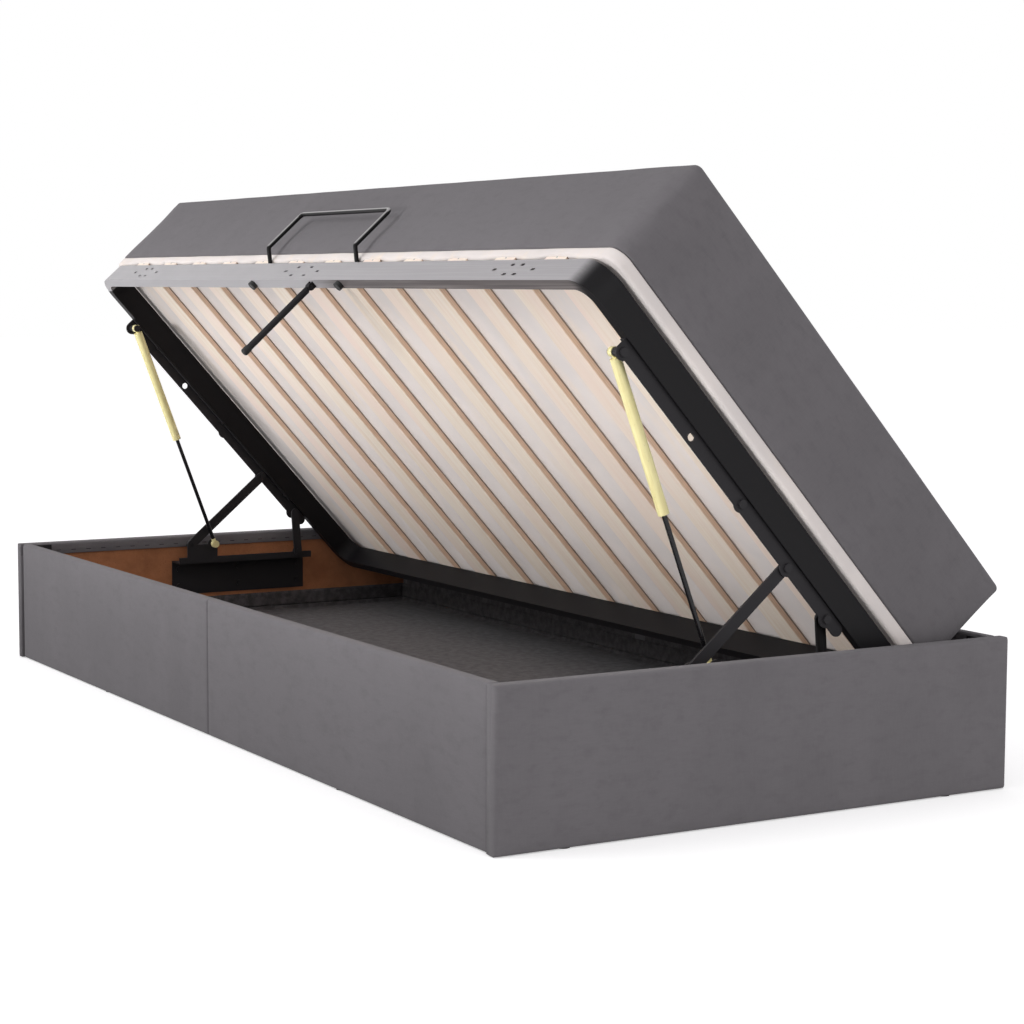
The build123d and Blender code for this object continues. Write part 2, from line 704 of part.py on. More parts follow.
# Pins and bolts that ride with the lid: strut pins, arm pins, and bolt heads over the link pivots and stops
strut_pin_inner_x = strut_x - eye_width / 2 - screw_head_height - pin_clearance
with BuildPart() as lid_pivot_pins:
    for side in (-1, 1):
        outer_face = lid_side_plane(side * flange_outer_x)
        inner_face = lid_side_plane(side * flange_inner_x)
        for pivot in (strut_pivot, arm_pivot, link_pivot, stop_bolt):
            disc(outer_face, pivot, pin_head_radius, side * bolt_head_height)
        disc(outer_face, strut_pivot, pin_radius, -side * (flange_outer_x - strut_pin_inner_x))
        disc(inner_face, strut_pivot, pin_head_radius,
             -side * (flange_inner_x - strut_x - eye_width / 2 - open_pivot_gap))
        disc(lid_side_plane(side * strut_pin_inner_x), strut_pivot, pin_head_radius,
             side * screw_head_height)
        disc(outer_face, arm_pivot, pin_radius, -side * (flange_outer_x - arm_inner_x + open_pivot_gap))
        disc(lid_side_plane(side * (arm_inner_x - open_pivot_gap)), arm_pivot, pin_head_radius,
             -side * rivet_head_height)
        disc(outer_face, link_pivot, pin_radius, -side * flange_metal)
save(lid_pivot_pins, "lid_pivot_pins")


def bar_between(plane, first, second, width, thickness):
    """A flat bar with round ends between two pivots, standing on a plane across the bed."""
    with BuildSketch(plane) as profile:
        with Locations(Location(((first[0] + second[0]) / 2, (first[1] + second[1]) / 2),
                                degrees(atan2(second[1] - first[1], second[0] - first[0])))):
            SlotCenterToCenter(hypot(second[0] - first[0], second[1] - first[1]), width)
    extrude(profile.sketch, amount=thickness)


# Front arms, one at each end, from the base bracket to the lid bracket
for side, hand in hands:
    with BuildPart() as front_arm:
        bar_between(base_side_plane(side * arm_inner_x), arm_base, arm_top, arm_width,
                    side * arm_metal)
        for pivot in (arm_base, arm_top):
            disc(base_side_plane(side * arm_inner_x), pivot, pin_radius + pin_clearance,
                 side * arm_metal, Mode.SUBTRACT)
    save(front_arm, f"front_arm_{hand}")

# Rear links, each with a stud that stops short of the lid bracket
for side, hand in hands:
    with BuildPart() as rear_link:
        bar_between(base_side_plane(side * link_inner_x), link_base, link_top, link_width,
                    side * arm_metal)
        disc(base_side_plane(side * link_inner_x), link_base, pin_radius + pin_clearance,
             side * arm_metal, Mode.SUBTRACT)
        disc(base_side_plane(side * link_outer_x), link_top, pin_radius,
             side * (flange_inner_x - open_pivot_gap - link_outer_x))
    save(rear_link, f"rear_link_{hand}")

# Base brackets: a plate on the end board, a shelf and an upright with the lower pivots
strip_high_z = web_high_z + lobe_radius
for side, hand in hands:
    with BuildPart() as base_bracket:
        block((side * (end_core_inner_x - plate_metal), side * end_core_inner_x),
              (bracket_low_y, bracket_high_y), (mounting_low_z, web_high_z))
        block((side * upright_inner_x, side * end_core_inner_x), (bracket_low_y, bracket_high_y),
              (web_low_z, web_high_z))
        with BuildSketch(base_side_plane(side * upright_inner_x)):
            with Locations(((bracket_low_y + bracket_high_y) / 2, (web_low_z + strip_high_z) / 2)):
                Rectangle(bracket_high_y - bracket_low_y, strip_high_z - web_low_z)
            with Locations(((arm_base[0] + strut_base[0]) / 2, (web_low_z + arm_base[1]) / 2)):
                Rectangle(abs(strut_base[0] - arm_base[0]) + 2 * lobe_radius, arm_base[1] - web_low_z)
            with Locations((link_base[0], (web_low_z + link_base[1]) / 2)):
                Rectangle(2 * lobe_radius, link_base[1] - web_low_z)
            with Locations(arm_base, strut_base, link_base):
                Circle(lobe_radius)
            with Locations(arm_base, strut_base, link_base):
                Circle(pin_radius, mode=Mode.SUBTRACT)
        extrude(amount=side * upright_metal)
    save(base_bracket, f"base_bracket_{hand}")

# Pins that stay with the base: arm pins, link pins and the rivets over the strut pivots
with BuildPart() as base_pivot_pins:
    for side in (-1, 1):
        inner_face = base_side_plane(side * upright_inner_x)
        disc(inner_face, arm_base, pin_radius, side * (arm_outer_x + pin_clearance - upright_inner_x))
        disc(base_side_plane(side * (arm_outer_x + pin_clearance)), arm_base, pin_head_radius,
             side * rivet_head_height)
        disc(base_side_plane(side * upright_outer_x), link_base, pin_radius,
             -side * (upright_outer_x + pin_clearance - link_inner_x))
        disc(base_side_plane(side * (link_inner_x - pin_clearance)), link_base, pin_head_radius,
             -side * rivet_head_height)
        disc(inner_face, strut_base, pin_radius, side * upright_metal)
        disc(base_side_plane(side * upright_outer_x), strut_base, pin_head_radius,
             side * rivet_head_height)
save(base_pivot_pins, "base_pivot_pins")

# Gas struts: cylinder, rod with its piston, and lower eye
strut_down = (0, (strut_base[0] - strut_top[0]) / strut_open_length,
              (strut_base[1] - strut_top[1]) / strut_open_length)
cylinder_end = strut_shut_length - eye_shoulder - strut_end_play
rod_reach = strut_shut_length - bore_start - strut_end_play
bore_radius = strut_radius - strut_wall


def strut_plane(side, distance):
    """Plane square to a strut at a distance down from its upper pivot."""
    return Plane(origin=(side * strut_x, strut_top[0] + strut_down[1] * distance,
                         strut_top[1] + strut_down[2] * distance),
                 x_dir=(1, 0, 0), z_dir=strut_down)


for side, hand in hands:
    eye_face = base_side_plane(side * strut_x - eye_width / 2)
    with BuildPart() as strut_cylinder:
        disc(eye_face, strut_top, eye_radius, eye_width)
        disc(strut_plane(side, 0), (0, 0), strut_neck_radius, bore_start)
        disc(strut_plane(side, body_start), (0, 0), strut_radius, cylinder_end - body_start)
        disc(strut_plane(side, bore_start), (0, 0), bore_radius,
             cylinder_end - gland_length - bore_start, Mode.SUBTRACT)
        disc(strut_plane(side, bore_start), (0, 0), rod_radius + pin_clearance,
             cylinder_end - bore_start, Mode.SUBTRACT)
        disc(eye_face, strut_top, pin_radius + pin_clearance, eye_width, Mode.SUBTRACT)
    save(strut_cylinder, f"strut_cylinder_{hand}")

    with BuildPart() as strut_rod:
        disc(strut_plane(side, strut_open_length - rod_reach), (0, 0), rod_radius,
             rod_reach - eye_shoulder)
        disc(strut_plane(side, strut_open_length - rod_reach), (0, 0), bore_radius - pin_clearance,
             piston_length)
    save(strut_rod, f"strut_rod_{hand}")

with BuildPart() as strut_lower_eyes:
    for side in (-1, 1):
        disc(base_side_plane(side * strut_x - eye_width / 2), strut_base, eye_radius, eye_width)
        disc(strut_plane(side, strut_open_length - eye_shoulder), (0, 0), strut_neck_radius, eye_shoulder)
        disc(base_side_plane(side * (strut_x + eye_width / 2)), strut_base, pin_radius,
             side * (upright_inner_x - open_pivot_gap - strut_x - eye_width / 2))
save(strut_lower_eyes, "strut_lower_eyes")
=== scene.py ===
"""Ottoman storage bed: camera, light, finishes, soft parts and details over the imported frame."""
from math import cos, exp, pi, radians, sin, sqrt, tau

import bmesh
import bpy
from mathutils import Matrix, Vector, noise


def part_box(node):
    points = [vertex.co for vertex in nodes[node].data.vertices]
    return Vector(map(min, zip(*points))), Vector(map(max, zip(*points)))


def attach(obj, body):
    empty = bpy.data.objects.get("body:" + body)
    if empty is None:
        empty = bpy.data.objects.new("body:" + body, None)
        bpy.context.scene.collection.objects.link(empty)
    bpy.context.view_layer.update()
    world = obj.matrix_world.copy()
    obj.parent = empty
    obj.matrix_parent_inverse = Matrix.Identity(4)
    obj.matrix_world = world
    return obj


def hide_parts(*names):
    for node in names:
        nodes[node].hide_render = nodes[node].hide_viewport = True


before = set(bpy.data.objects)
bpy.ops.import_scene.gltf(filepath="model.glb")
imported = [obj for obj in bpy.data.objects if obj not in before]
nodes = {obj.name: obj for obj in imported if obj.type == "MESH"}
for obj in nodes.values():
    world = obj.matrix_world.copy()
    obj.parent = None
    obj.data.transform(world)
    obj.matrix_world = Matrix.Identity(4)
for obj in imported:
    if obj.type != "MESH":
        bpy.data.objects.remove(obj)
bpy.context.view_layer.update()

# Sizes in metres, as in the frame
mm = 0.001
base_length = 2080 * mm
base_width = 950 * mm
base_height = 247 * mm
mattress_length = 2000 * mm
mattress_width = 900 * mm
mattress_height = 190 * mm
mattress_crown = 6 * mm
underside_height = 16 * mm
low_corner_radius = 30 * mm
high_corner_radius = 13 * mm
edge_radius = 8 * mm
lid_tilt = radians(48)

# The lid's own axes: x along the bed, w from the free edge to the hinge side, t out of the mattress
lid_origin = Vector((0, -246.0175 * mm, 863.530 * mm))
lid_w = Vector((0, cos(lid_tilt), -sin(lid_tilt)))
lid_t = Vector((0, sin(lid_tilt), cos(lid_tilt)))


def lid_point(x, w, t):
    """A point of the lid in the row frame."""
    return lid_origin + Vector((x, 0, 0)) + w * lid_w + t * lid_t


# Camera: the photograph's place, direction and focal length
camera_place = (3.856, -2.093, 0.806)
camera_azimuth = radians(59.73)
camera_elevation = radians(5.52)
camera_roll = radians(0.22)
focal_px = 2346.1
frame_px = 1024
sensor_width = 36.0


def add_camera():
    """Place the camera where the photograph was taken from."""
    data = bpy.data.cameras.new("camera")
    data.sensor_fit = "HORIZONTAL"
    data.sensor_width = sensor_width
    data.lens = sensor_width * focal_px / frame_px
    data.clip_end = 60.0
    camera = bpy.data.objects.new("camera", data)
    bpy.context.scene.collection.objects.link(camera)
    back = Vector((sin(camera_azimuth) * cos(camera_elevation),
                   -cos(camera_azimuth) * cos(camera_elevation), sin(camera_elevation)))
    right = Vector((cos(camera_azimuth), sin(camera_azimuth), 0))
    up = back.cross(right)
    turned_right = right * cos(camera_roll) + up * sin(camera_roll)
    turned_up = up * cos(camera_roll) - right * sin(camera_roll)
    matrix = Matrix((turned_right, turned_up, back)).transposed().to_4x4()
    matrix.translation = camera_place
    camera.matrix_world = matrix
    bpy.context.scene.camera = camera


# Light: name, place, aim, width, height, watts and spread in degrees
world_strength = 0.62
floor_glow = 0.40
lamps = (
    ("key", (-1.2, -4.2, 3.6), (0, 0, 0.4), 3.2, 3.2, 84.0, 180),
    ("fill", (4.5, 0.5, 1.8), (0.4, 0, 0.4), 3.0, 3.0, 30.0, 180),
    ("front", (0, -3.0, 0.65), (0, 0, 0.57), 2.6, 0.3, 3.6, 20),
)


def add_lamp(name, place, aim, width, height, power, spread):
    """A soft lamp that faces a point."""
    data = bpy.data.lights.new(name, "AREA")
    data.shape = "RECTANGLE"
    data.size = width
    data.size_y = height
    data.energy = power
    data.spread = radians(spread)
    lamp = bpy.data.objects.new(name, data)
    lamp.location = place
    lamp.rotation_euler = (Vector(aim) - Vector(place)).to_track_quat("-Z", "Y").to_euler()
    bpy.context.scene.collection.objects.link(lamp)


def add_light():
    """White surroundings, a soft key from the front left, a weak fill and a narrow front lamp."""
    world = bpy.data.worlds.new("studio")
    bpy.context.scene.world = world
    world.use_nodes = True
    tree = world.node_tree
    tree.nodes.clear()
    out = tree.nodes.new("ShaderNodeOutputWorld")
    seen = tree.nodes.new("ShaderNodeBackground")
    lit = tree.nodes.new("ShaderNodeBackground")
    seen.inputs["Color"].default_value = (1, 1, 1, 1)
    seen.inputs["Strength"].default_value = 1.0
    lit.inputs["Color"].default_value = (1, 0.985, 1, 1)
    lit.inputs["Strength"].default_value = world_strength
    mix = tree.nodes.new("ShaderNodeMixShader")
    path = tree.nodes.new("ShaderNodeLightPath")
    camera_or_glossy = tree.nodes.new("ShaderNodeMath")
    camera_or_glossy.operation = "MAXIMUM"
    with_transmission = tree.nodes.new("ShaderNodeMath")
    with_transmission.operation = "MAXIMUM"
    tree.links.new(path.outputs["Is Camera Ray"], camera_or_glossy.inputs[0])
    tree.links.new(path.outputs["Is Glossy Ray"], camera_or_glossy.inputs[1])
    tree.links.new(camera_or_glossy.outputs[0], with_transmission.inputs[0])
    tree.links.new(path.outputs["Is Transmission Ray"], with_transmission.inputs[1])
    tree.links.new(with_transmission.outputs[0], mix.inputs[0])
    tree.links.new(lit.outputs[0], mix.inputs[1])
    tree.links.new(seen.outputs[0], mix.inputs[2])
    tree.links.new(mix.outputs[0], out.inputs["Surface"])
    for lamp in lamps:
        add_lamp(*lamp)


class Finish:
    """A node material built round one principled shader."""

    def __init__(self, name, roughness, metallic=0.0, **sockets):
        self.material = bpy.data.materials.new(name)
        self.material.use_nodes = True
        self.tree = self.material.node_tree
        self.shader = self.tree.nodes["Principled BSDF"]
        self.shader.inputs["Roughness"].default_value = roughness
        self.shader.inputs["Metallic"].default_value = metallic
        for socket, value in sockets.items():
            self.shader.inputs[socket.replace("_", " ")].default_value = value

    def node(self, kind, **values):
        """A new node with its settings and its socket values."""
        made = self.tree.nodes.new("ShaderNode" + kind)
        for key, value in values.items():
            if isinstance(value, bpy.types.NodeSocket):
                self.tree.links.new(value, made.inputs[key.replace("_", " ")])
            elif key in made.inputs or key.replace("_", " ") in made.inputs:
                made.inputs[key.replace("_", " ")].default_value = value
            else:
                setattr(made, key, value)
        return made

    def math(self, operation, first, second=0.0, third=0.0):
        """One arithmetic step on numbers or sockets."""
        made = self.tree.nodes.new("ShaderNodeMath")
        made.operation = operation
        for index, value in enumerate((first, second, third)):
            if isinstance(value, bpy.types.NodeSocket):
                self.tree.links.new(value, made.inputs[index])
            else:
                made.inputs[index].default_value = value
        return made.outputs[0]

    def step(self, value, low, high):
        """A smooth rise from 0 at low to 1 at high."""
        made = self.node("MapRange", interpolation_type="SMOOTHSTEP", Value=value)
        made.inputs["From Min"].default_value = low
        made.inputs["From Max"].default_value = high
        return made.outputs["Result"]

    def veil(self, value, low, high, share):
        """A smooth rise from 0 at low to a share of 1 at high."""
        return self.math("MULTIPLY", self.step(value, low, high), share)

    def place(self, on_lid=False, stretch=(1, 1, 1)):
        """The surface's own place in metres, in the lid's axes where it rides on the lid."""
        place = self.node("TexCoord").outputs["Object"]
        if on_lid:
            turn = self.node("Mapping", Vector=place)
            turn.inputs["Rotation"].default_value = (lid_tilt, 0, 0)
            offset = (0, -lid_origin.dot(lid_w), -lid_origin.dot(lid_t))
            turn.inputs["Location"].default_value = offset
            place = turn.outputs["Vector"]
        if stretch != (1, 1, 1):
            scale = self.node("Mapping", Vector=place)
            scale.inputs["Scale"].default_value = stretch
            place = scale.outputs["Vector"]
        return place

    def noise(self, place, scale, detail=3.0, roughness=0.55):
        """Cloudy noise at so many clouds a metre."""
        made = self.node("TexNoise", Vector=place, Scale=scale, Detail=detail)
        made.inputs["Roughness"].default_value = roughness
        return made.outputs["Fac"]

    def mix(self, factor, first, second):
        """Two colours, or colour sockets, mixed by a number or a socket."""
        made = self.tree.nodes.new("ShaderNodeMix")
        made.data_type = "RGBA"
        for index, value in ((0, factor), (6, first), (7, second)):
            if isinstance(value, bpy.types.NodeSocket):
                self.tree.links.new(value, made.inputs[index])
            else:
                made.inputs[index].default_value = value if index == 0 else (*value, 1)
        return made.outputs[2]

    def color(self, value):
        """Connect the base colour."""
        self.tree.links.new(value, self.shader.inputs["Base Color"])

    def bump(self, *heights):
        """Chain bumps, each a height socket with its strength and depth in metres."""
        before = None
        for height, strength, depth in heights:
            made = self.node("Bump", Height=height, Strength=strength, Distance=depth)
            if before is not None:
                self.tree.links.new(before, made.inputs["Normal"])
            before = made.outputs["Normal"]
        self.tree.links.new(before, self.shader.inputs["Normal"])

    def rough(self, value):
        """Connect the roughness."""
        self.tree.links.new(value, self.shader.inputs["Roughness"])


def tone(red, green, blue):
    """A colour given in screen values from 0 to 255, as linear light."""
    def linear(value):
        share = value / 255
        return share / 12.92 if share <= 0.04045 else ((share + 0.055) / 1.055) ** 2.4
    return linear(red), linear(green), linear(blue)


def shade(color, factor):
    """A colour made darker or lighter."""
    return tuple(channel * factor for channel in color)


threads_per_metre = 700.0


def fabric(name, color, on_lid=False, mottle=0.07):
    """Short woven pile: fine crossed threads, soft clouds and long faint streaks."""
    finish = Finish(name, 0.95, Sheen_Weight=0.08, Sheen_Roughness=0.6, Specular_IOR_Level=0.15)
    place = finish.place(on_lid)
    clouds = finish.noise(place, 2.6, 3.0)
    brushed = finish.noise(finish.place(on_lid, (9, 9, 3.2)), 1.0, 3.0)
    along = finish.noise(finish.place(on_lid, (60, 60, 420)), 1.0, 2.0)
    across = finish.noise(finish.place(on_lid, (420, 420, 60)), 1.0, 2.0)
    pile = finish.noise(place, 900.0, 2.0)
    light = finish.mix(finish.step(clouds, 0.3, 0.7),
                       shade(color, 1 - mottle), shade(color, 1 + mottle))
    light = finish.mix(finish.veil(brushed, 0.4, 0.7, 0.6), light, shade(color, 1.12))
    patches_and_painted_light = finish.noise(finish.place(on_lid, (26, 26, 60)), 1.0, 4.0, 0.65)
    light = finish.mix(finish.veil(patches_and_painted_light, 0.45, 0.75, 0.6), light, shade(color, 0.82))
    streak = finish.mix(finish.veil(along, 0.35, 0.65, 0.2), light, shade(color, 0.86))
    thread = finish.mix(finish.veil(across, 0.35, 0.65, 0.2), streak, shade(color, 1.14))
    finish.color(finish.mix(finish.math("MULTIPLY", pile, 0.2), thread, shade(color, 0.78)))
    apart = finish.node("SeparateXYZ", Vector=place)
    waves = []
    for axis in range(3):
        turns = finish.math("MULTIPLY", apart.outputs[axis], tau * threads_per_metre)
        waves.append(finish.math("SINE", turns))
    weave = finish.math("ADD", finish.math("ADD", waves[0], waves[1]), waves[2])
    finish.bump((clouds, 0.2, 2 * mm), (weave, 0.2, 0.1 * mm), (pile, 0.4, 0.2 * mm))
    return finish.material


def white_cover():
    """White nonwoven of the mattress's underside, a little uneven, with a warm bloom in places."""
    finish = Finish("white_cover", 0.9, Sheen_Weight=0.05, Sheen_Roughness=0.5,
                    Specular_IOR_Level=0.3)
    place = finish.place(True)
    wide = finish.noise(place, 7.0, 3.0)
    warm = finish.noise(finish.place(True, (22, 5, 22)), 1.0, 3.0)
    cool = finish.mix(finish.step(wide, 0.35, 0.65), tone(228, 220, 216), tone(219, 212, 209))
    finish.color(finish.mix(finish.step(warm, 0.5, 0.8), cool, tone(229, 216, 204)))
    fine = finish.noise(place, 420.0, 2.0)
    finish.bump((wide, 0.3, 2 * mm), (fine, 0.3, 0.25 * mm))
    return finish.material


def slat_wood():
    """Laminated slats: creamy faces with long grain, tan edges that show the layers, with painted
    light on the edges and a painted contact shadow at their top.
    """
    finish = Finish("slat_wood", 0.5, Coat_Weight=0.08, Coat_Roughness=0.4)
    grain = finish.noise(finish.place(True, (150, 5, 150)), 1.0, 5.0, 0.6)
    slow = finish.noise(finish.place(True, (7, 1.6, 7)), 1.0, 2.0)
    face = finish.mix(finish.step(grain, 0.35, 0.7), tone(242, 230, 216), tone(234, 217, 199))
    face = finish.mix(finish.step(slow, 0.45, 0.7), face, tone(240, 220, 208))
    apart = finish.node("SeparateXYZ", Vector=finish.place(True))
    layer_pitch = 3.2 * mm
    layers = finish.math("SINE", finish.math("MULTIPLY", apart.outputs[2], tau / layer_pitch))
    # The edges' tones are lighter than the wood's own tan: painted light for the weaker light on
    # the side faces, over the real layers
    edge = finish.mix(finish.step(layers, -0.2, 0.6), tone(250, 224, 198), tone(242, 206, 176))
    edge = finish.mix(finish.veil(grain, 0.4, 0.8, 0.4), edge, tone(224, 180, 148))
    # Painted contact shadow: a slat's edge darkens just below its top face, which lies at t = -16
    # mm
    contact_shadow = finish.step(apart.outputs[2], -20 * mm, -17 * mm)
    edge = finish.mix(finish.math("MULTIPLY", contact_shadow, 0.9), edge, tone(98, 74, 62))
    normal = finish.node("SeparateXYZ", Vector=finish.node("TexCoord").outputs["Normal"])
    sideways = finish.step(finish.math("ABSOLUTE", normal.outputs[0]), 0.5, 0.9)
    finish.color(finish.mix(sideways, face, edge))
    finish.bump((grain, 0.25, 0.3 * mm))
    return finish.material


def frame_paint():
    """Powder-coated tube: silver front rail with painted shade and reflections, black side and rear
    rails.
    """
    finish = Finish("frame_paint", 0.5, Specular_IOR_Level=0.15)
    place = finish.place(True)
    apart = finish.node("SeparateXYZ", Vector=place)
    normal = finish.node("SeparateXYZ", Vector=finish.node("TexCoord").outputs["Normal"])
    downward = finish.math("ADD", finish.math("MULTIPLY", normal.outputs[1], -sin(lid_tilt)),
                           finish.math("MULTIPLY", normal.outputs[2], -cos(lid_tilt)))
    bottom = finish.step(downward, 0.6, 0.9)
    # Black starts behind the front rail (w) and round the right corner (x); on the front rail's
    # rounded right end the black is a painted dark reflection
    right_rail_and_dark_reflection = finish.step(apart.outputs[0], 938 * mm, 972 * mm)
    behind = finish.step(apart.outputs[1], 30 * mm, 34 * mm)
    black = finish.math("MAXIMUM", right_rail_and_dark_reflection, behind)
    speckle = finish.noise(place, 500.0, 2.0)
    wide = finish.noise(place, 12.0, 2.0)
    drawn = finish.noise(finish.place(True, (3, 260, 260)), 1.0, 3.0)
    # Painted shade: the silver darkens steadily from the left end toward the right end
    along = finish.step(apart.outputs[0], -900 * mm, 950 * mm)
    silver = finish.mix(along, tone(167, 165, 167), tone(153, 150, 152))
    silver = finish.mix(finish.veil(wide, 0.3, 0.7, 0.3), silver, tone(150, 148, 151))
    silver = finish.mix(finish.veil(drawn, 0.4, 0.7, 0.3), silver, tone(174, 172, 174))
    # Painted reflection and shade on the downward faces: pale on the left half, dark with drawn
    # streaks on the right half
    patches_and_painted_light = finish.mix(finish.step(drawn, 0.35, 0.7), tone(92, 87, 87), tone(124, 118, 117))
    underside_dark_half = finish.step(apart.outputs[0], 20 * mm, 200 * mm)
    under = finish.mix(underside_dark_half, tone(176, 174, 177), patches_and_painted_light)
    silver = finish.mix(bottom, silver, under)
    dark = finish.mix(finish.math("MULTIPLY", speckle, 0.5), tone(14, 13, 15), tone(28, 26, 29))
    finish.color(finish.mix(black, silver, dark))
    finish.bump((speckle, 0.1, 0.12 * mm))
    return finish.material


def black_steel(name="black_steel", light=1.0, roughness=0.55, painted_top_highlight=False):
    """Black powder coat with fine orange peel; painted highlights make its edges, and where asked
    its top, lighter.
    """
    finish = Finish(name, roughness, Specular_IOR_Level=0.15)
    place = finish.place()
    speckle = finish.noise(place, 600.0, 2.0)
    wide = finish.noise(place, 25.0, 3.0)
    dark = shade(tone(9, 8, 9), light)
    pale = shade(tone(21, 19, 21), light)
    base = finish.mix(finish.math("MULTIPLY", speckle, 0.6), dark, pale)
    # Painted highlight: sharp edges lighter
    patches_and_painted_light = finish.step(finish.node("NewGeometry").outputs["Pointiness"], 0.52, 0.58)
    base = finish.mix(finish.math("MULTIPLY", patches_and_painted_light, 0.25), base, tone(80, 78, 82))
    if painted_top_highlight:
        # Painted highlight: the upward faces paler
        normal = finish.node("SeparateXYZ", Vector=finish.node("TexCoord").outputs["Normal"])
        base = finish.mix(finish.step(normal.outputs[2], 0.35, 0.75), base, tone(168, 166, 166))
    finish.color(base)
    finish.rough(finish.math("ADD", finish.math("MULTIPLY", wide, 0.2), roughness - 0.1))
    finish.bump((speckle, 0.2, 0.15 * mm))
    return finish.material


def zinc():
    """Zinc-plated screws and plates with a faint brushed grain."""
    finish = Finish("zinc", 0.35, metallic=0.9)
    place = finish.place()
    brushed = finish.noise(finish.place(stretch=(60, 900, 60)), 1.0, 2.0)
    wide = finish.noise(place, 40.0, 3.0)
    finish.color(finish.mix(wide, tone(148, 148, 150), tone(184, 184, 180)))
    finish.rough(finish.math("ADD", finish.math("MULTIPLY", brushed, 0.2), 0.25))
    finish.bump((brushed, 0.1, 0.1 * mm))
    return finish.material


def strut_sleeve():
    """Pale yellow sleeve of the gas struts, satin, faintly streaked along its length."""
    finish = Finish("strut_sleeve", 0.38, Coat_Weight=0.2, Coat_Roughness=0.25)
    streak = finish.noise(finish.place(stretch=(300, 40, 12)), 1.0, 3.0)
    spots = finish.noise(finish.place(), 220.0, 3.0)
    base = finish.mix(finish.step(streak, 0.35, 0.65), tone(230, 221, 164), tone(218, 207, 148))
    finish.color(finish.mix(finish.veil(spots, 0.62, 0.75, 0.35), base, tone(176, 160, 112)))
    finish.bump((spots, 0.08, 0.1 * mm))
    return finish.material


def strut_rod():
    """Black rod with a smooth hard finish."""
    finish = Finish("strut_rod", 0.22, metallic=0.4)
    turned = finish.noise(finish.place(stretch=(60, 60, 900)), 1.0, 2.0)
    finish.color(finish.mix(turned, tone(16, 16, 18), tone(30, 29, 32)))
    finish.rough(finish.math("ADD", finish.math("MULTIPLY", turned, 0.15), 0.18))
    finish.bump((turned, 0.05, 0.05 * mm))
    return finish.material


def bare_board(name, color):
    """Unfinished brown board: fine fibres, blotches and scattered darker specks."""
    finish = Finish(name, 0.82, Specular_IOR_Level=0.3)
    place = finish.place()
    blotch = finish.noise(place, 14.0, 4.0, 0.6)
    fibre = finish.noise(finish.place(stretch=(160, 160, 420)), 1.0, 3.0)
    specks = finish.noise(place, 320.0, 2.0)
    base = finish.mix(finish.step(blotch, 0.35, 0.65), shade(color, 0.82), shade(color, 1.15))
    base = finish.mix(finish.math("MULTIPLY", fibre, 0.4), base, shade(color, 0.7))
    finish.color(finish.mix(finish.veil(specks, 0.62, 0.72, 0.5), base, shade(color, 0.45)))
    finish.bump((fibre, 0.3, 0.3 * mm), (specks, 0.2, 0.2 * mm))
    return finish.material


def softwood():
    """Planed pale softwood of the battens and crossbars."""
    finish = Finish("softwood", 0.65)
    grain = finish.noise(finish.place(stretch=(6, 90, 90)), 1.0, 5.0, 0.6)
    rings = finish.noise(finish.place(stretch=(2, 26, 26)), 1.0, 3.0)
    base = finish.mix(finish.step(grain, 0.3, 0.7), tone(216, 186, 140), tone(192, 158, 112))
    finish.color(finish.mix(finish.veil(rings, 0.5, 0.7, 0.5), base, tone(168, 128, 84)))
    finish.bump((grain, 0.25, 0.4 * mm))
    return finish.material


def liner_fabric():
    """Black nonwoven liner, mottled with pressed dimples."""
    finish = Finish("liner_fabric", 0.8, Sheen_Weight=0.1, Specular_IOR_Level=0.3)
    place = finish.place()
    mottle = finish.noise(place, 60.0, 5.0, 0.65)
    fine = finish.noise(place, 260.0, 2.0)
    dimple = finish.node("TexVoronoi", Vector=place, Scale=240.0).outputs["Distance"]
    base = finish.mix(finish.step(mottle, 0.35, 0.68), tone(72, 69, 71), tone(100, 97, 99))
    finish.color(finish.mix(finish.math("MULTIPLY", fine, 0.35), base, tone(20, 19, 21)))
    finish.bump((mottle, 0.5, 2 * mm), (dimple, 0.4, 0.5 * mm))
    return finish.material


def moulded_plastic(name, color, roughness):
    """Satin moulded plastic or rubber with a fine texture."""
    finish = Finish(name, roughness)
    place = finish.place()
    fine = finish.noise(place, 700.0, 2.0)
    wide = finish.noise(place, 30.0, 2.0)
    finish.color(finish.mix(wide, shade(color, 0.85), shade(color, 1.2)))
    finish.bump((fine, 0.15, 0.12 * mm))
    return finish.material


def floor_finish():
    """Pale studio floor that is white to the camera and still takes the object's shadow."""
    finish = Finish("floor", 0.9, Specular_IOR_Level=0.0)
    path = finish.node("LightPath")
    seen = finish.math("MAXIMUM", path.outputs["Is Camera Ray"], path.outputs["Is Glossy Ray"])
    seen = finish.math("MAXIMUM", seen, path.outputs["Is Transmission Ray"])
    grain = finish.noise(finish.place(), 3.0, 2.0)
    plain = finish.mix(grain, (0.80, 0.80, 0.80), (0.82, 0.82, 0.82))
    finish.color(finish.mix(seen, plain, (1.0, 1.0, 1.0)))
    finish.shader.inputs["Emission Color"].default_value = (1, 1, 1, 1)
    glow = finish.math("MULTIPLY", seen, floor_glow)
    finish.tree.links.new(glow, finish.shader.inputs["Emission Strength"])
    return finish.material


def add_floor():
    """A wide plain floor under the object."""
    mesh = bpy.data.meshes.new("studio_floor")
    build = bmesh.new()
    bmesh.ops.create_grid(build, x_segments=4, y_segments=4, size=30.0)
    build.to_mesh(mesh)
    build.free()
    floor = bpy.data.objects.new("studio_floor", mesh)
    bpy.context.scene.collection.objects.link(floor)
    mesh.materials.append(floor_finish())


def dress(node_names, material):
    """Give CAD nodes a finish."""
    for name in node_names:
        mesh = nodes[name].data
        mesh.materials.clear()
        mesh.materials.append(material)


def starting(*words):
    """The CAD nodes whose names start with one of these words."""
    return [name for name in nodes if name.startswith(words)]


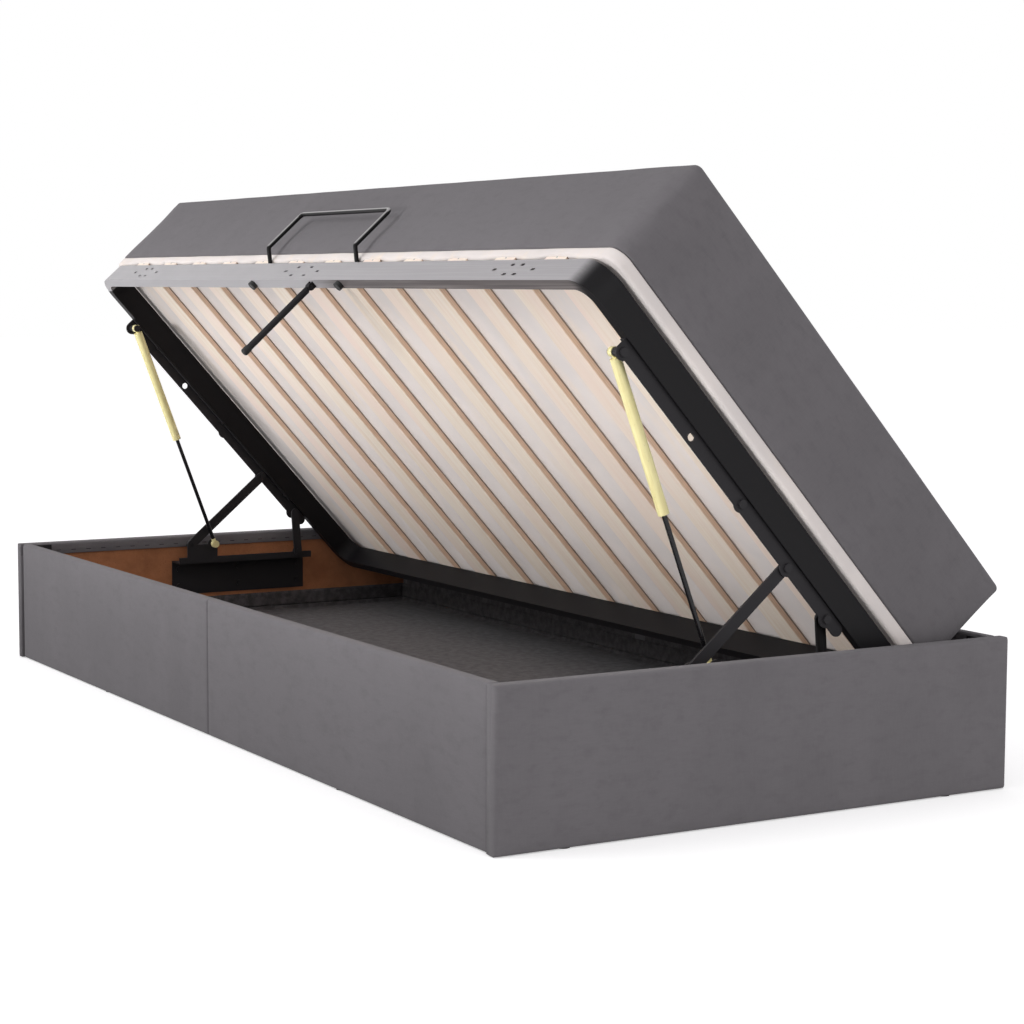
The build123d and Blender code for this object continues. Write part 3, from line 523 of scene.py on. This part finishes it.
def new_piece(name, vertices, faces, material, body, smooth=True):
    """A mesh piece that rides on a body and takes the given finish."""
    mesh = bpy.data.meshes.new(name)
    mesh.from_pydata([tuple(v) for v in vertices], [], faces)
    mesh.validate()
    build = bmesh.new()
    build.from_mesh(mesh)
    bmesh.ops.recalc_face_normals(build, faces=build.faces)
    for face in build.faces:
        face.smooth = smooth
    build.to_mesh(mesh)
    build.free()
    piece = bpy.data.objects.new(name, mesh)
    bpy.context.scene.collection.objects.link(piece)
    mesh.materials.append(material)
    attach(piece, body)
    return piece


def ring_faces(rings, count):
    """Quads between neighbouring closed rings of the same number of points."""
    faces = []
    for ring in range(rings - 1):
        for step in range(count):
            nearby = (step + 1) % count
            faces.append((ring * count + step, ring * count + nearby,
                          (ring + 1) * count + nearby, (ring + 1) * count + step))
    return faces


# Soft slabs: the mattress and its underside, ring by ring
side_steps = 60
end_steps = 28
corner_steps = 9
least_ring_radius = 1.5 * mm

# Where the underside hangs: how far in from its edge, over what fade, and how far beside a slat
hang_border = 45 * mm
hang_fade = 25 * mm
hang_free = 24 * mm

# Unevenness: pitches in metres, and how far out a point lies, of 1, before it swells sideways
swell_pitch = 0.16
ripple_pitch = 0.05
top_pitch = 0.2
swell_end_share = 0.96
swell_side_share = 0.93


def slab_ring(inset, corner_radius):
    """Points (x, w) of a rounded rectangle drawn in by an inset, always the same number of them."""
    half_x = mattress_length / 2 - inset
    half_w = mattress_width / 2 - inset
    radius = max(corner_radius - inset, least_ring_radius)
    corners = ((1, 1, 0), (-1, 1, 1), (-1, -1, 2), (1, -1, 3))
    ring = []
    for sign_x, sign_w, quarter in corners:
        centre = Vector((sign_x * (half_x - radius), sign_w * (half_w - radius)))
        arc = []
        for step in range(corner_steps + 1):
            angle = (quarter + step / corner_steps) * pi / 2
            arc.append(centre + radius * Vector((cos(angle), sin(angle))))
        ring += arc
        after = corners[(quarter + 1) % 4]
        following = Vector((after[0] * (half_x - radius), after[1] * (half_w - radius)))
        angle = (quarter + 1) * pi / 2
        end = following + radius * Vector((cos(angle), sin(angle)))
        count = side_steps if quarter % 2 == 0 else end_steps
        ring += [arc[-1].lerp(end, step / count) for step in range(1, count)]
    return [(point.x, point.y + mattress_width / 2) for point in ring]


def undulate(x, w, t, amount, pitch):
    """A soft uneven swelling in metres."""
    return amount * noise.noise(Vector((x, w, t)) / pitch)


def slat_hollow(x, w):
    """How freely the underside hangs: 0 over a slat, 1 beside one, near the slab's edge alone."""
    border = min(mattress_length / 2 - abs(x), w, mattress_width - w)
    if border > hang_border:
        return 0.0
    nearest = min(abs(x - centre) for centre in slat_centres) - slat_half
    beside_slat = min(max(nearest / hang_free, 0), 1)
    return beside_slat * min(max((hang_border - border) / hang_fade, 0), 1)


def slab(name, profile, material, amount, sag=0.0):
    """A closed soft slab from (inset, t) rings, bottom first, swelling a little unevenly."""
    vertices = []
    for inset, t in profile:
        share = min(max(t / mattress_height, 0), 1)
        corner_radius = low_corner_radius + (high_corner_radius - low_corner_radius) * share
        for x, w in slab_ring(inset, corner_radius):
            out_x = x / (mattress_length / 2)
            out_w = (w - mattress_width / 2) / (mattress_width / 2)
            swell = (undulate(x, w, t, amount, swell_pitch)
                     + undulate(x, w, t, amount / 3, ripple_pitch))
            push_x = swell * out_x if abs(out_x) > swell_end_share else 0
            push_w = swell * out_w if abs(out_w) > swell_side_share else 0
            push_t = undulate(x + 3, w, t, amount, top_pitch) if inset > edge_radius else 0
            if sag:
                push_t -= sag * slat_hollow(x, w) * min(max(-t / underside_height, 0), 1)
            vertices.append(lid_point(x + push_x, w + push_w, t + push_t))
    count = len(vertices) // len(profile)
    rings = len(profile)
    faces = ring_faces(rings, count)
    faces.append(tuple(reversed(range(count))))
    faces.append(tuple(range((rings - 1) * count, rings * count)))
    return new_piece(name, vertices, faces, material, "lid")


# Cloth step that presses the mattress cover out
cloth_quality = 6
cloth_pressure = 4.0
cloth_frames = 20
inward_share = 8


def settle(piece, held_rings, ring_count, cap):
    """Press the cover out as cloth, with each point's movement capped, inward most of all."""
    scene = bpy.context.scene
    mesh = piece.data
    before = [vertex.co.copy() for vertex in mesh.vertices]
    points = len(before) // ring_count
    held = piece.vertex_groups.new(name="held")
    for ring in held_rings:
        held.add(list(range(ring * points, (ring + 1) * points)), 1.0, "REPLACE")
    cloth = piece.modifiers.new("cloth", "CLOTH")
    cloth.settings.quality = cloth_quality
    cloth.settings.use_pressure = True
    cloth.settings.uniform_pressure_force = cloth_pressure
    cloth.settings.vertex_group_mass = "held"
    cloth.settings.effector_weights.gravity = 0.0
    cloth.collision_settings.use_collision = False
    cloth.point_cache.frame_start = 1
    cloth.point_cache.frame_end = cloth_frames
    for moment in range(1, cloth_frames + 1):
        scene.frame_set(moment)
    pressed = piece.evaluated_get(bpy.context.evaluated_depsgraph_get()).to_mesh()
    after = [vertex.co.copy() for vertex in pressed.vertices]
    piece.evaluated_get(bpy.context.evaluated_depsgraph_get()).to_mesh_clear()
    piece.modifiers.remove(cloth)
    piece.vertex_groups.remove(held)
    scene.frame_set(1)
    outward = [vertex.normal.copy() for vertex in mesh.vertices]
    for vertex, old, new, normal in zip(mesh.vertices, before, after, outward):
        moved = new - old
        limit = cap if moved.dot(normal) > 0 else cap / inward_share
        vertex.co = old + moved * min(1, limit / max(moved.length, 1e-9))
    mesh.update()


def mattress_profile():
    """Grey part: a tucked bottom join, sides that pull in a little, a rolled edge and a crown."""
    side_low = 4 * mm
    side_inset = 0.5 * mm
    pull = 1.5 * mm
    crown_start = 60 * mm
    crown_reach = 90 * mm
    shoulder = mattress_height - mattress_crown - edge_radius
    profile = [(8 * mm, 0.2 * mm), (3 * mm, 0.4 * mm), (1.2 * mm, 1.6 * mm), (0.6 * mm, side_low)]
    side_rings = 12
    for step in range(1, side_rings):
        share = step / side_rings
        profile.append((side_inset + pull * sin(pi * share),
                        side_low + (shoulder - side_low) * share))
    roll_rings = 8
    for step in range(roll_rings + 1):
        angle = step / roll_rings * pi / 2
        profile.append((side_inset + edge_radius * (1 - cos(angle)),
                        shoulder + edge_radius * sin(angle)))
    for inset in (18, 30, 45, 60, 80, 110, 150, 200, 260, 330, 400, 436):
        share = 1 - exp(-max(inset * mm - crown_start / 2, 0) / crown_reach)
        profile.append((inset * mm, mattress_height - mattress_crown + mattress_crown * share))
    return profile


def underside_profile():
    """White part: a flat bottom, a short rounded edge and a tuck under the grey part."""
    low = -underside_height
    setback = 1.5 * mm
    roll = 5 * mm
    profile = [(436 * mm, low), (300 * mm, low), (150 * mm, low), (60 * mm, low), (24 * mm, low)]
    roll_rings = 6
    for step in range(roll_rings + 1):
        angle = step / roll_rings * pi / 2
        profile.append((setback + roll * (1 - sin(angle)), low + roll * (1 - cos(angle))))
    profile += [(1.3 * mm, -7 * mm), (1.2 * mm, -3 * mm), (1.8 * mm, -1.2 * mm),
                (4 * mm, -0.3 * mm), (12 * mm, -0.1 * mm)]
    return profile


# Upholstered boards
cover_lip = 25 * mm
cover_low = 1 * mm
cover_roll = 5.5 * mm
board_face_setback = 1.2 * mm
lip_radius = 1.2 * mm
board_steps = 90
plain_border = 12 * mm


def cover_section(depth, board_depth):
    """Closed outline (depth, z) of a wrapped board: outer face, rolled top and turned-down lip."""
    points = []
    arc_steps = 4

    def roll(centre_d, centre_z, start, end, radius):
        for step in range(arc_steps + 1):
            angle = start + (end - start) * step / arc_steps
            points.append((centre_d + radius * cos(angle), centre_z + radius * sin(angle)))

    top = base_height
    rises = 14
    roll(cover_roll, cover_low + cover_roll, 1.5 * pi, pi, cover_roll)
    for step in range(1, rises):
        rise = (top - cover_low - 2 * cover_roll) * step / rises
        points.append((0.0, cover_low + cover_roll + rise))
    roll(cover_roll, top - cover_roll, pi, pi / 2, cover_roll)
    roll(depth - cover_roll, top - cover_roll, pi / 2, 0, cover_roll)
    roll(depth - lip_radius, top - cover_lip + lip_radius, 0, -pi / 2, lip_radius)
    points.append((board_depth - board_face_setback, top - cover_lip))
    points.append((board_depth - board_face_setback, cover_low + 1 * mm))
    return points


def tuck_depth(edge, depth, board_depth):
    """How deep the fabric reaches: past the board's inner face where another board butts on."""
    covered = 20 * mm
    overlap = 0.2 * mm
    if edge > covered or depth < board_depth - 2 * board_face_setback:
        return depth
    return board_depth + overlap


def wrapped_board(name, start, along, inward, length, depth, board_depth, material):
    """A fabric-wrapped board from a start corner, its ends rolled, its outer face uneven."""
    section = cover_section(depth, board_depth)
    roll_steps = 4
    stations = [cover_roll * (1 - cos(step / roll_steps * pi / 2))
                for step in range(roll_steps + 1)]
    middle = [cover_roll + (length - 2 * cover_roll) * step / board_steps
              for step in range(1, board_steps)]
    stations = stations + middle + [length - station for station in reversed(stations)]
    plain_low, plain_high = cover_low + plain_border, base_height - plain_border
    vertices = []
    for station in stations:
        edge = min(station, length - station)
        fall = cover_roll - sqrt(max(cover_roll ** 2 - max(cover_roll - edge, 0) ** 2, 0))
        for section_depth, z in section:
            d = tuck_depth(edge, section_depth, board_depth)
            pull = fall if d < cover_roll * 1.01 else 0
            pull = fall * (1 - d / cover_roll) if 0 < d < cover_roll else pull
            place = start + along * station + inward * (d + pull) + Vector((0, 0, z))
            if d < 0.5 * mm and edge > plain_border and plain_low < z < plain_high:
                unevenness = undulate(place.x, place.y, place.z, 0.9 * mm, 0.22)
                place += inward * (0.5 * mm + unevenness)
            vertices.append(place)
    count = len(section)
    faces = ring_faces(len(stations), count)
    faces.append(tuple(range(count)))
    faces.append(tuple(reversed(range((len(stations) - 1) * count, len(stations) * count))))
    return new_piece(name, vertices, faces, material, "base")


def add_covers(material):
    """Fabric over the two end boards and the four long boards."""
    end_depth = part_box("end_cover_right")[1][0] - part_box("end_cover_right")[0][0]
    end_board_inner = base_length / 2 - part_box("end_board_right")[0][0]
    side_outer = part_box("front_cover_right")[0][1]
    side_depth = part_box("front_cover_right")[1][1] - side_outer
    side_board_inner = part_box("front_board_right")[1][1] - side_outer
    seam_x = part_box("front_cover_right")[0][0]
    side_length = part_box("front_cover_right")[1][0] - seam_x
    for side, hand in ((-1, "left"), (1, "right")):
        corner = Vector((side * base_length / 2, -base_width / 2, 0))
        piece = wrapped_board(f"end_upholstery_{hand}", corner, Vector((0, 1, 0)),
                              Vector((-side, 0, 0)), base_width, end_depth, end_board_inner,
                              material)
        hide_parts(f"end_cover_{hand}")
        for face, long_side in ((-1, "front"), (1, "back")):
            corner = Vector((side * seam_x, -face * side_outer, 0))
            piece = wrapped_board(f"{long_side}_upholstery_{hand}", corner, Vector((side, 0, 0)),
                                  Vector((0, -face, 0)), side_length, side_depth,
                                  side_board_inner, material)
            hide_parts(f"{long_side}_cover_{hand}")


def staple_block(place, along, out, vertices, faces):
    """One staple: a thin flattened wire lying on the fabric."""
    half = 5 * mm
    wide = 0.7 * mm
    proud = 0.5 * mm
    across = along.cross(out)
    first = len(vertices)
    for half_length, half_width, height in ((half, wide, 0), (half * 0.94, wide * 0.6, proud)):
        for a, c in ((-half_length, -half_width), (half_length, -half_width),
                     (half_length, half_width), (-half_length, half_width)):
            vertices.append(place + along * a + across * c + out * height)
    for quad in ((0, 1, 5, 4), (1, 2, 6, 5), (2, 3, 7, 6), (3, 0, 4, 7),
                 (4, 5, 6, 7), (3, 2, 1, 0)):
        faces.append(tuple(first + corner for corner in quad))


def add_staples(material):
    """Staples along the fabric that is turned down inside the box."""
    pitch = 34 * mm
    clear = 75 * mm
    height = base_height - 17 * mm
    end_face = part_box("end_cover_right")[0][0]
    side_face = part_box("back_cover_right")[0][1]
    vertices, faces = [], []
    for side in (-1, 1):
        count = int((base_width - 2 * clear) / pitch)
        for step in range(count + 1):
            y = -count * pitch / 2 + step * pitch
            staple_block(Vector((side * end_face, y, height)), Vector((0, 1, 0)),
                         Vector((-side, 0, 0)), vertices, faces)
        count = int((base_length - 4 * clear) / pitch)
        for step in range(count + 1):
            x = -count * pitch / 2 + step * pitch
            staple_block(Vector((x, side * side_face, height)), Vector((1, 0, 0)),
                         Vector((0, -side, 0)), vertices, faces)
    new_piece("staples", vertices, faces, material, "base", smooth=False)


def add_liner(material):
    """Black liner: a floor with shallow wrinkles and a low soft upstand."""
    low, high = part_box("storage_liner")
    half_x = high[0] - 1.0 * mm
    half_y = high[1] - 1.0 * mm
    floor_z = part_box("floor_panels")[1][2] + 1.8 * mm
    rise = high[2] - floor_z
    bend = 9 * mm
    steps_x, steps_y, wall_steps, bend_steps = 150, 70, 6, 4
    wrinkle, crease, wall_bulge, floor_lift = 1.1 * mm, 0.5 * mm, 0.8 * mm, 1.2 * mm
    path = []
    for step in range(wall_steps + 1):
        path.append((0.0, rise * (1 - step / wall_steps)) if step < wall_steps else (0.0, bend))
    for step in range(1, bend_steps + 1):
        angle = step / bend_steps * pi / 2
        path.append((bend * (1 - cos(angle)), bend * (1 - sin(angle))))

    def profile(count, half):
        """Places across the liner: up one wall, over the floor and up the other wall."""
        left = [(-half + a, z) for a, z in path]
        inner = [(-half + bend + (2 * half - 2 * bend) * step / count, 0.0)
                 for step in range(1, count)]
        return left + inner + [(half - a, z) for a, z in reversed(path)]

    across = profile(steps_y, half_y)
    length = profile(steps_x, half_x)
    vertices, faces = [], []
    for x, rise_x in length:
        for y, rise_y in across:
            up = max(rise_x, rise_y)
            wave = (wrinkle * noise.noise(Vector((x, y, 0)) * 7)
                    + crease * noise.noise(Vector((x, y, 3)) * 26))
            wall = wall_bulge * (1 + noise.noise(Vector((x, y, up)) * 9)) if up > 0 else 0
            shift_x = -wall * (1 if x > 0 else -1) if rise_x > 0 else 0
            shift_y = -wall * (1 if y > 0 else -1) if rise_y > 0 else 0
            uneven = wave + floor_lift if up < bend else 0
            vertices.append(Vector((x + shift_x, y + shift_y, floor_z + up + uneven)))
    columns = len(across)
    for row in range(len(length) - 1):
        for column in range(columns - 1):
            start = row * columns + column
            faces.append((start, start + 1, start + columns + 1, start + columns))
    piece = new_piece("liner_fabric_tray", vertices, faces, material, "base")
    thick = piece.modifiers.new("thickness", "SOLIDIFY")
    thick.thickness = 1.0 * mm
    thick.offset = 0
    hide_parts("storage_liner")


add_camera()
add_light()
add_floor()

liner = liner_fabric()
dress(["storage_liner"], liner)
upholstery = fabric("upholstery", tone(113, 110, 113))
# Painted shade: the mattress wears the upholstery's grey made darker, to even out the light the
# tilted mattress catches
mattress_fabric = fabric("mattress_fabric", tone(107, 104, 107), on_lid=True, mottle=0.03)
dress(starting("end_cover", "front_cover", "back_cover"), upholstery)
dress(starting("end_board"), bare_board("brown_board", tone(172, 114, 78)))
# The front and back boards take the black liner finish, which keeps the box's long inner walls dark
dress(starting("front_board", "back_board"), liner)
dress(["floor_panels"], bare_board("floor_board", tone(150, 112, 78)))
dress(["floor_bearers", "floor_crossbars"], softwood())
dress([f"slat_{index:02d}" for index in range(1, 13)], slat_wood())
dress(["frame_left", "frame_right"], frame_paint())
steel = black_steel()
dress(starting("base_bracket", "lid_bracket", "front_arm", "rear_link", "corner_brackets",
               "leg_bracket", "frame_joiners"), steel)
dress(["mattress_handle"], black_steel("handle_steel", 1.0, 0.35, painted_top_highlight=True))
dress(["support_leg"], black_steel("leg_steel", 0.25, 0.7))
dark_screws = black_steel("dark_screws", 0.8, 0.4)
dress(["lid_pivot_pins", "base_pivot_pins", "bracket_screws", "box_screws"], dark_screws)
plated = zinc()
dress(["slat_screws", "joining_plates"], plated)
dress(starting("strut_cylinder", "strut_lower"), strut_sleeve())
dress(starting("strut_rod"), strut_rod())
dress(["centre_feet", "edge_glides", "handle_nuts"],
      moulded_plastic("black_plastic", tone(12, 12, 13), 0.6))
dress(["leg_cap"], moulded_plastic("rubber", tone(12, 12, 13), 0.75))
white = white_cover()
dress(["mattress", "mattress_underside"], mattress_fabric)

slat_boxes = [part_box(f"slat_{index:02d}") for index in range(1, 13)]
slat_centres = [(low[0] + high[0]) / 2 for low, high in slat_boxes]
slat_half = (slat_boxes[0][1][0] - slat_boxes[0][0][0]) / 2
grey_rings = mattress_profile()
grey_slab = slab("mattress_cover", grey_rings, mattress_fabric, 0.8 * mm)
seam_and_edge = [index for index, (inset, t) in enumerate(grey_rings)
                 if t < 5 * mm or (t > mattress_height - 20 * mm and inset < 14 * mm)]
settle(grey_slab, seam_and_edge, len(grey_rings), 4 * mm)
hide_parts("mattress")
white_slab = slab("underside_cover", underside_profile(), white, 0.3 * mm,
                  sag=6 * mm)
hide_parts("mattress_underside")
add_covers(upholstery)
add_staples(dark_screws)
add_liner(liner)

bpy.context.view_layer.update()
scene = bpy.context.scene
scene.view_settings.view_transform = "Standard"
